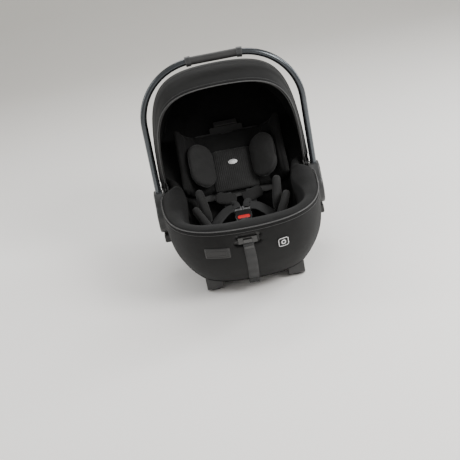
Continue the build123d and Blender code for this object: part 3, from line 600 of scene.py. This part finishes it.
def make_seat_cover():
    """The padded lining: over the rim from the outside, and down into the seat."""
    columns, wall_rows = 180, 28
    angles = [2 * pi * c / columns for c in range(columns)]
    rows, outer, inner = [], [], []
    for a in angles:
        rim = rim_point(a, 0, 0.0012)
        if POCKET_Y[0] < rim.y < POCKET_Y[1]:
            rim.x = max(-POCKET_X, min(POCKET_X, rim.x))
        outer.append(rim)
        top = top_edge(lambda z: bowl_hit(a, z, RIM_MIDDLE) is not None, *RIM_SEARCH) - 0.003
        edge = bowl_hit(a, top, RIM_MIDDLE)
        edge.x *= 1 - SIDE_PULL * bolster(edge)
        inner.append(edge)
    for lift, inward in ((-0.007, 0.0), (-0.001, -0.0012), (0.004, -0.0008)):
        rows.append([o + Vector((0, 0, lift)) + (i - o).normalized() * inward for o, i in zip(outer, inner)])
    for share in (0.08, 0.2, 0.36, 0.52, 0.68, 0.82, 0.93):
        row = []
        for o, i in zip(outer, inner):
            point = o.lerp(i, share)
            crown = (0.0035 + 0.010 * bolster(point)) * sin(pi * min(1, share * 1.05))
            point.z = o.z * (1 - share) + (i.z - 0.006) * share + 0.0055 + crown
            row.append(point)
        rows.append(row)
    for r in range(wall_rows):
        t = (r / (wall_rows - 1)) ** 0.9
        row = []
        for a, top in zip(angles, inner):
            z = top.z + (0.0935 - top.z) * t
            middle_y = RIM_MIDDLE + (-0.087 - RIM_MIDDLE) * t
            point = bowl_hit(a, z - 0.0005, middle_y) or top.copy()
            depth = (top.z - z) / 0.045
            point.x *= 1 - SIDE_PULL * bolster(point) * exp(-depth * depth)
            point += (Vector((0, middle_y, z)) - point).normalized() * 0.0015
            row.append(point)
        rows.append(row)
    points = [p for row in rows for p in row]
    faces = grid_faces(len(rows), columns, closed=True)
    last = (len(rows) - 1) * columns
    faces.append(tuple(range(last, last + columns)))
    cover = new_piece("seat_lining", points, faces, "knit")
    edit = bmesh.new()
    edit.from_mesh(cover.data)
    bmesh.ops.poke(edit, faces=[face for face in edit.faces if len(face.verts) > 4])
    for _ in range(3):
        bmesh.ops.smooth_vert(
            edit, verts=[v for v in edit.verts if not v.is_boundary], factor=0.5,
            use_axis_x=True, use_axis_y=True, use_axis_z=True,
        )
    bmesh.ops.recalc_face_normals(edit, faces=edit.faces)
    edit.to_mesh(cover.data)
    edit.free()
    apply_modifier(cover, "SUBSURF", levels=1)
    groove(cover, lambda co: np.where(co[:, 1] > -0.02, np.abs(co[:, 0]) - 0.112, 1.0), 0.0022, 0.0024)

    def side_seam(co):
        height = co[:, 2] - 0.150 - 0.35 * np.abs(co[:, 1] + 0.10)
        return np.where(np.abs(co[:, 0]) > 0.06, height, 1.0)

    groove(cover, side_seam, 0.002, 0.0026)
    wrinkle(cover, 0.0009, 34.0)
    apply_modifier(cover, "SOLIDIFY", thickness=0.004, offset=-1.0)
    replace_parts(cover, "seat_cover")
    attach(cover, "seat")
    for name, first, lift, grow, radius, material, sides in (
        ("rim_piping", -1.60, 0.0042, 0.0022, 0.0016, "piping", 8),
        ("rim_stitch", -1.60, -0.0045, 0.0042, 0.0005, "stitch", 5),
        ("rear_rim_piping", 1.86, 0.002, 0.0012, 0.0015, "knit", 8),
    ):
        last = -first if first < 0 else 2 * pi - first
        path = [rim_point(a, lift, grow) for a in np.linspace(first, last, 150)]
        tube(name, path, radius, material, "seat", sides=sides)


SKIRT_BOTTOM = 0.0405


def skirt_edge_angle(z):
    """How far round the hull the skirt reaches at a height."""
    return float(np.interp(z, (0.04, 0.062, 0.12, 0.20), (0.72, 0.92, 1.36, 1.54)))


def skirt_point(across, up, grow=0.0036):
    """A point on the skirt: across from -1 to 1, up from 0 at the hem to 1 at the rim."""
    z = SKIRT_BOTTOM + (0.211 - SKIRT_BOTTOM) * up
    angle = across * skirt_edge_angle(z)
    top = rim_point(angle, 0.001, grow)
    z = SKIRT_BOTTOM + (top.z - SKIRT_BOTTOM) * up
    return hull_point(angle, min(z, top.z - 0.002), grow) if up < 1 else top


def make_skirt():
    """The cloth over the foot end. Its flat area is taken from its own mesh, not from a cut."""
    columns, rows = 121, 34
    points = []
    for r in range(rows):
        up = r / (rows - 1)
        for c in range(columns):
            across = -1 + 2 * c / (columns - 1)
            point = skirt_point(across, up)
            out = Vector((point.x, point.y - RIM_MIDDLE, 0)).normalized()
            points.append(point + out * 0.0016 * sin(pi * up) * (1 - across * across))
    skirt = new_piece("foot_skirt", points, grid_faces(rows, columns), "knit")
    low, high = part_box("adjuster_housing")
    edit = bmesh.new()
    edit.from_mesh(skirt.data)
    inside = [
        face for face in edit.faces
        if low.x < face.calc_center_median().x < high.x and low.z < face.calc_center_median().z < high.z
    ]
    bmesh.ops.delete(edit, geom=inside, context="FACES")
    bmesh.ops.recalc_face_normals(edit, faces=edit.faces)
    edit.to_mesh(skirt.data)
    edit.free()
    apply_modifier(skirt, "SUBSURF", levels=1)
    wrinkle(skirt, 0.0007, 30.0, seed=2.0)
    apply_modifier(skirt, "SOLIDIFY", thickness=0.0016, offset=-1.0)
    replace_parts(skirt, "front_cover")
    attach(skirt, "seat")
    hem = [skirt_point(-1 + 2 * k / 90, 0.012, 0.0042) for k in range(91)]
    tube("skirt_hem", hem, 0.0014, "knit", "seat")
    for name, sign in (("skirt_edge_left", -1), ("skirt_edge_right", 1)):
        tube(name, [skirt_point(sign * 0.995, k / 30, 0.0042) for k in range(31)], 0.0012, "knit", "seat")


def skirt_patch(name, node, grow, material, round_by):
    """A rounded panel that follows the skirt, in the place of a CAD node."""
    cell, least = 0.002, 8
    low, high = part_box(node)
    centre_x, centre_z = (low.x + high.x) / 2, (low.z + high.z) / 2
    width, height = high.x - low.x, high.z - low.z
    columns, rows = max(least, int(width / cell)), max(least, int(height / cell))
    points = []
    for r in range(rows + 1):
        for c in range(columns + 1):
            u, v = 2 * c / columns - 1, 2 * r / rows - 1
            pinch_u = u * sqrt(max(0, 1 - round_by * v ** 8 / 2))
            pinch_v = v * sqrt(max(0, 1 - round_by * u ** 8 / 2))
            hit = foot_hit(centre_x + pinch_u * width / 2, centre_z + pinch_v * height / 2)
            edge = max(abs(u), abs(v))
            points.append(hit + Vector((0, -1, 0)) * (grow - (0.0012 if edge > 0.985 else 0)))
    patch = new_piece(name, points, grid_faces(rows + 1, columns + 1), material)
    turn_faces_out(patch)
    apply_modifier(patch, "SOLIDIFY", thickness=0.0012, offset=0.0)
    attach(patch, "seat")
    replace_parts(patch, node)


def patch_outline(name, node, inset, radius, material, corner):
    """A rounded rectangle of thread or raised rib on a patch."""
    low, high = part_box(node)
    centre_x, centre_z = (low.x + high.x) / 2, (low.z + high.z) / 2
    half_x, half_z = (high.x - low.x) / 2 - inset, (high.z - low.z) / 2 - inset
    path = []
    for quarter, (sx, sz) in enumerate(((1, 1), (-1, 1), (-1, -1), (1, -1))):
        for k in range(7):
            turn = pi / 2 * (quarter + k / 6)
            x = centre_x + sx * (half_x - corner) + corner * cos(turn)
            z = centre_z + sz * (half_z - corner) + corner * sin(turn)
            path.append((x, z))
    filled = []
    for (x0, z0), (x1, z1) in zip(path, path[1:] + path[:1]):
        steps = max(1, int(sqrt((x1 - x0) ** 2 + (z1 - z0) ** 2) / 0.003))
        filled += [(x0 + (x1 - x0) * k / steps, z0 + (z1 - z0) * k / steps) for k in range(steps)]
    route = [foot_hit(x, z) + Vector((0, -0.0068, 0)) for x, z in filled]
    tube(name, route, radius, material, "seat", closed=True, sides=6)


def make_marks():
    """Plain patches where the seat has labels."""
    for node, material, round_by in (("front_patch", "rubber", 0.12), ("front_tag", "tag", 0.3)):
        skirt_patch(node + "_piece", node, 0.0062, material, round_by)
    patch_outline("patch_rib", "front_patch", 0.003, 0.0009, "rubber", 0.003)
    patch_outline("patch_inner_rib", "front_patch", 0.009, 0.0007, "rubber", 0.003)
    patch_outline("tag_outline", "front_tag", 0.0022, 0.0008, "pale_mark", 0.005)
    patch_outline("tag_spot", "front_tag", 0.0095, 0.0013, "pale_mark", 0.0035)


# ==== canopy ===========================================================================
ARC_FRONT, ARC_MID, ARC_REAR = 17.5, -6.0, -28.0
CANOPY_SIZES = (  # angle, half width and height at each line of the cloth
    (ARC_FRONT, 0.1847, 0.2957),
    (10.0, 0.1868, 0.2978),
    (1.0, 0.1894, 0.3004),
    (ARC_MID, 0.1895, 0.3006),
    (ARC_REAR, 0.1962, 0.3085),
)
REAR_START = 1.96  # the angle round the hull where the canopy's lower edge begins


def canopy_point(angle, share, shrink=0.0, foot=0.024):
    """A point on the canopy: share runs from the left pivot (0) over the top to the right (1)."""
    angles, half_widths, heights = zip(*CANOPY_SIZES[::-1])
    half_width = float(np.interp(angle, angles, half_widths)) - shrink
    height = float(np.interp(angle, angles, heights)) - shrink
    t = 2 * share if share < 0.5 else 2 * (1 - share)
    k = CANOPY_FULLNESS
    rise = foot + (height - foot) * k
    x = half_width * ((1 - t) ** 3 + 3 * (1 - t) ** 2 * t + 3 * (1 - t) * t * t * k)
    up = foot * (1 - t) ** 3 + 3 * (1 - t) ** 2 * t * rise + 3 * (1 - t) * t * t * height + t ** 3 * height
    lean = radians(angle)
    return CANOPY_PIVOT + Vector(((-x if share < 0.5 else x), -sin(lean) * up, cos(lean) * up))


def lower_edge(share):
    """A point of the canopy's lower rear edge, which follows the hull's rim."""
    from_side = abs(2 * share - 1)
    turn = REAR_START + (pi - REAR_START) * (1 - from_side)
    return rim_point(turn if share > 0.5 else 2 * pi - turn, -0.011, 0.0046)


def rear_point(part, share, shrink):
    """A point between the rear bow (part 0) and the lower edge (part 1)."""
    bow, edge = canopy_point(ARC_REAR, share, shrink), lower_edge(share)
    across = 1 - abs(2 * share - 1)
    bulge = Vector((0, 0.020, 0.030)) * across
    return bow.lerp(edge, part) + bulge * 4 * part * (1 - part) * 0.55


def canopy_cloth(name, start, end, dip, replaced, joined):
    """One span of the canopy cloth, dipping a little between its two ends.

    Its flat size and area are taken from its own mesh, so they don't test the cloth for stretch.
    """
    columns, rows = 97, 17
    points = []
    for r in range(rows):
        part = r / (rows - 1)
        for c in range(columns):
            share = 0.5 - 0.5 * cos(pi * c / (columns - 1))
            across = 1 - abs(2 * share - 1)
            pull = dip * sin(pi * part) ** 2 * (0.35 + 0.65 * min(1, across * 1.6))
            pull += 0.0007 * sin(11 * pi * share) * sin(pi * part) ** 2
            if end is None:
                points.append(rear_point(part, share, pull * 0.6))
            else:
                points.append(canopy_point(start + (end - start) * part, share, pull))
    cloth = new_piece(name, points, grid_faces(rows, columns), "canopy_cloth")
    turn_faces_out(cloth)
    apply_modifier(cloth, "SUBSURF", levels=1)
    apply_modifier(cloth, "SOLIDIFY", thickness=0.0014, offset=0.0)
    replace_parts(cloth, replaced)
    if joined:
        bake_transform(cloth)
    else:
        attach(cloth, "seat")


def make_canopy():
    """Three spans of cloth, with piping, seams and stitches at the bows."""
    steps = 120
    for name, start, end, dip, replaced, joined in (
        ("front", ARC_MID, ARC_FRONT, 0.0018, "canopy_front_panel", ("canopy_mid", "canopy_front")),
        ("mid", ARC_REAR, ARC_MID, 0.0035, "canopy_mid_panel", ("seat", "canopy_mid")),
        ("rear", ARC_REAR, None, 0.003, "canopy_rear_panel", None),
    ):
        canopy_cloth(f"canopy_cloth_{name}", start, end, dip, replaced, joined)
    for name, angle, grow, radius, material, body in (
        ("canopy_front_piping", ARC_FRONT + 0.5, 0.0, 0.0015, "piping", "canopy_front"),
        ("canopy_front_hem", ARC_FRONT - 1.9, 0.0006, 0.0004, "stitch", "canopy_front"),
        ("canopy_mid_seam", ARC_MID, 0.0002, 0.0009, "canopy_cloth", "canopy_mid"),
        ("canopy_mid_stitch", ARC_MID + 1.2, 0.0004, 0.0004, "stitch", "canopy_mid"),
        ("canopy_rear_seam", ARC_REAR, 0.0008, 0.0013, "canopy_cloth", "seat"),
    ):
        path = [canopy_point(angle, 0.5 - 0.5 * cos(pi * k / steps), -grow) for k in range(steps + 1)]
        tube(name, path, radius, material, body, sides=7)
    path = [lower_edge(k / steps) for k in range(steps + 1)]
    tube("canopy_rim_binding", path, 0.0019, "canopy_cloth", "seat", sides=7)


# ==== pads =============================================================================
def make_pads():
    """Every loose pad: swollen, seamed, creased and piped."""
    pads = []
    plan = (  # piece, node, material, body, voxel, shrink, pressure, cap
        ("headrest_cushion", "headrest_pad", "knit", "headrest", 0.0042, 0.0015, 3.0, 0.004),
        ("head_pad_left_cushion", "head_pad_left", "soft_knit", "headrest", 0.0036, 0.003, 5.0, 0.006),
        ("head_pad_right_cushion", "head_pad_right", "soft_knit", "headrest", 0.0036, 0.003, 5.0, 0.006),
        (
            "shoulder_pad_left_cushion", "shoulder_pad_left",
            "soft_knit", "headrest", 0.0024, 0.001, 3.0, 0.0025,
        ),
        (
            "shoulder_pad_right_cushion", "shoulder_pad_right",
            "soft_knit", "headrest", 0.0024, 0.001, 3.0, 0.0025,
        ),
        ("crotch_cushion", "crotch_pad", "soft_knit", "seat", 0.0022, 0.001, 3.0, 0.0025),
        ("torso_cushions", "torso_wings", "soft_knit", "seat", 0.0034, -0.001, 4.0, 0.005),
        ("hip_cushions", "hip_wings", "soft_knit", "seat", 0.0032, -0.001, 4.0, 0.0045),
        ("seat_insert_cushion", "seat_insert", "knit", "seat", 0.004, 0.001, 3.0, 0.004),
    )
    made = {}
    for name, node, material, body, voxel, shrink, pressure, cap in plan:
        piece = soft_copy(name, node, material, voxel, shrink)
        pads.append((piece, pressure, cap))
        made[name] = (piece, body)
    fill_pads(pads)
    headrest = made["headrest_cushion"][0]
    groove(headrest, lambda co: np.abs(co[:, 0]) - 0.068, 0.0022, 0.0018)
    groove(headrest, lambda co: np.abs(co[:, 0]) - 0.1265, 0.0015, 0.0022)
    insert = made["seat_insert_cushion"][0]
    groove(insert, lambda co: np.abs(np.abs(co[:, 0]) - 0.048), 0.003, 0.003)
    groove(insert, lambda co: co[:, 1] + 0.05, 0.003, 0.003)
    for name, (piece, body) in made.items():
        wrinkle(piece, 0.0006, 60.0, seed=len(name))
        apply_modifier(piece, "SUBSURF", levels=1)
        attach(piece, body)
    for name in ("head_pad_left", "head_pad_right"):
        edge_piping(name + "_piping", coordinates(nodes[name]), "headrest", 0.0010, 0.0012, "soft_knit")
    for name in ("torso_wings", "hip_wings"):
        co = coordinates(nodes[name])
        for side, sign in SIDES:
            edge_piping(f"{name}_{side}_piping", co[co[:, 0] * sign > 0], "seat", 0.0008, 0.0013, "piping")


def make_pillow():
    """The ribbed pillow: upright ribs over a crowned pad, with a plain pale mark."""
    columns, rows, half_thick, half_width, taper = 180, 46, 0.006, 0.0565, 0.0035
    rib_pitch, pinch, half_height = 0.0052, 0.07, 0.060
    points = []
    for r in range(rows + 1):
        v = 2 * r / rows - 1
        reach = half_width - taper * v
        for c in range(columns + 1):
            u = 2 * c / columns - 1
            du = u * sqrt(max(0, 1 - pinch * v ** 8))
            dv = v * sqrt(max(0, 1 - pinch * u ** 8))
            edge = (1 - abs(u) ** 5) * (1 - abs(v) ** 5)
            rib = 0.5 + 0.5 * cos(u * reach * 2 * pi / rib_pitch)
            out = 0.0375 + half_thick * 1.7 * edge ** 0.5 + 0.0011 * rib * edge ** 0.3
            points.append(on_backrest(du * reach, 0.133 + half_height * dv, out))
    faces = grid_faces(rows + 1, columns + 1)
    pillow = new_piece("ribbed_pillow", points, faces, "ribbed_knit")
    apply_modifier(pillow, "SOLIDIFY", thickness=0.002, offset=-1.0)
    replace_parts(pillow, "head_pillow")
    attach(pillow, "headrest")
    spot, spot_points = [], 40
    for k in range(spot_points):
        turn = 2 * pi * k / spot_points
        spot.append(on_backrest(0.0125 * cos(turn), 0.150 + 0.0068 * sin(turn), 0.0494))
    mark = new_piece("pillow_mark", spot, [tuple(range(spot_points))], "pale_mark")
    apply_modifier(mark, "SOLIDIFY", thickness=0.0016, offset=0.0)
    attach(mark, "headrest")


# ==== harness ==========================================================================
BUCKLE_ORIGIN = Vector((0, -0.062, 0.134))
BUCKLE_UP, BUCKLE_OUT = Vector((0, 0.8660, 0.5)), Vector((0, -0.5, 0.8660))
WEB_WIDTH, WEB_THICK = 0.026, 0.0018
SHOULDER_FACING, LAP_FACING = Vector((0, -0.75, 0.66)), Vector((0, -0.45, 0.89))
CROTCH_FACING = Vector((0, -1, 0.1))


def web_strap(name, points, facing, body):
    """Harness webbing along a smooth path through the points."""
    return ribbon(name, smooth_path(points), facing, WEB_WIDTH, WEB_THICK, body)


def on_buckle(across, along, out):
    """A point by its place on the tilted buckle."""
    return BUCKLE_ORIGIN + Vector((across, 0, 0)) + BUCKLE_UP * along + BUCKLE_OUT * out


def make_harness():
    for side, sign in SIDES:
        points = [
            on_backrest(sign * 0.033, 0.070, 0.0362),
            on_backrest(sign * 0.032, 0.050, 0.0362),
            on_backrest(sign * 0.030, 0.032, 0.038),
            on_backrest(sign * 0.026, 0.020, 0.048),
            on_buckle(sign * 0.019, 0.048, 0.0015),
            on_buckle(sign * 0.015, 0.036, 0.001),
        ]
        strap = web_strap(f"shoulder_strap_{side}_web", points, SHOULDER_FACING, None)
        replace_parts(strap, f"shoulder_strap_{side}")
        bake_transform(strap)
        lap = [
            Vector((sign * 0.108, -0.078, 0.100)),
            Vector((sign * 0.090, -0.066, 0.118)),
            Vector((sign * 0.066, -0.050, 0.137)),
            Vector((sign * 0.042, -0.034, 0.151)),
            on_buckle(sign * 0.022, 0.038, 0.0035),
        ]
        web = web_strap(f"lap_strap_{side}_web", lap, LAP_FACING, "seat")
        if side == "left":
            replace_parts(web, "lap_straps")
    crotch = [
        Vector((0, -0.0962, 0.088)),
        Vector((0, -0.0962, 0.104)),
        Vector((0, -0.091, 0.114)),
        on_buckle(0, -0.024, -0.001),
    ]
    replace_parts(web_strap("crotch_strap_web", crotch, CROTCH_FACING, "seat"), "crotch_strap")


def make_adjuster_strap():
    """Pull webbing that leaves its slot at the foot end and lies down the skirt."""
    low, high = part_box("adjuster_strap")
    x, top = (low.x + high.x) / 2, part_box("adjuster_housing")[0].z - 0.0012
    bottom, steps = 0.031, 44
    path = []
    for k in range(steps):
        z = top + (bottom - top) * k / (steps - 1)
        hit = foot_hit(x, max(z, SKIRT_BOTTOM + 0.001))
        lift = 0.0052 + 0.0015 * sin(k * 0.35) ** 2
        path.append(Vector((x + 0.002 * sin(k * 0.07), hit.y - lift, z)))
    path.insert(0, path[0] + Vector((0, 0.004, 0.003)))
    facing = Vector((0, -1, -0.3))
    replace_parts(ribbon("adjuster_web", path, facing, WEB_WIDTH, WEB_THICK, "seat"), "adjuster_strap")
    over = [p + Vector((0, -0.0014, 0)) for p in path[3:6]]
    ribbon("adjuster_bar_tack", over, facing, WEB_WIDTH * 0.86, 0.0006, "seat", "stitch")
    ribbon("adjuster_end_fold", path[-5:-1], facing, WEB_WIDTH * 1.01, WEB_THICK * 2.0, "seat")


make_camera()
make_studio()
dress_cad_nodes()
make_seat_cover()
make_skirt()
make_marks()
make_canopy()
make_pads()
make_pillow()
make_harness()
make_adjuster_strap()
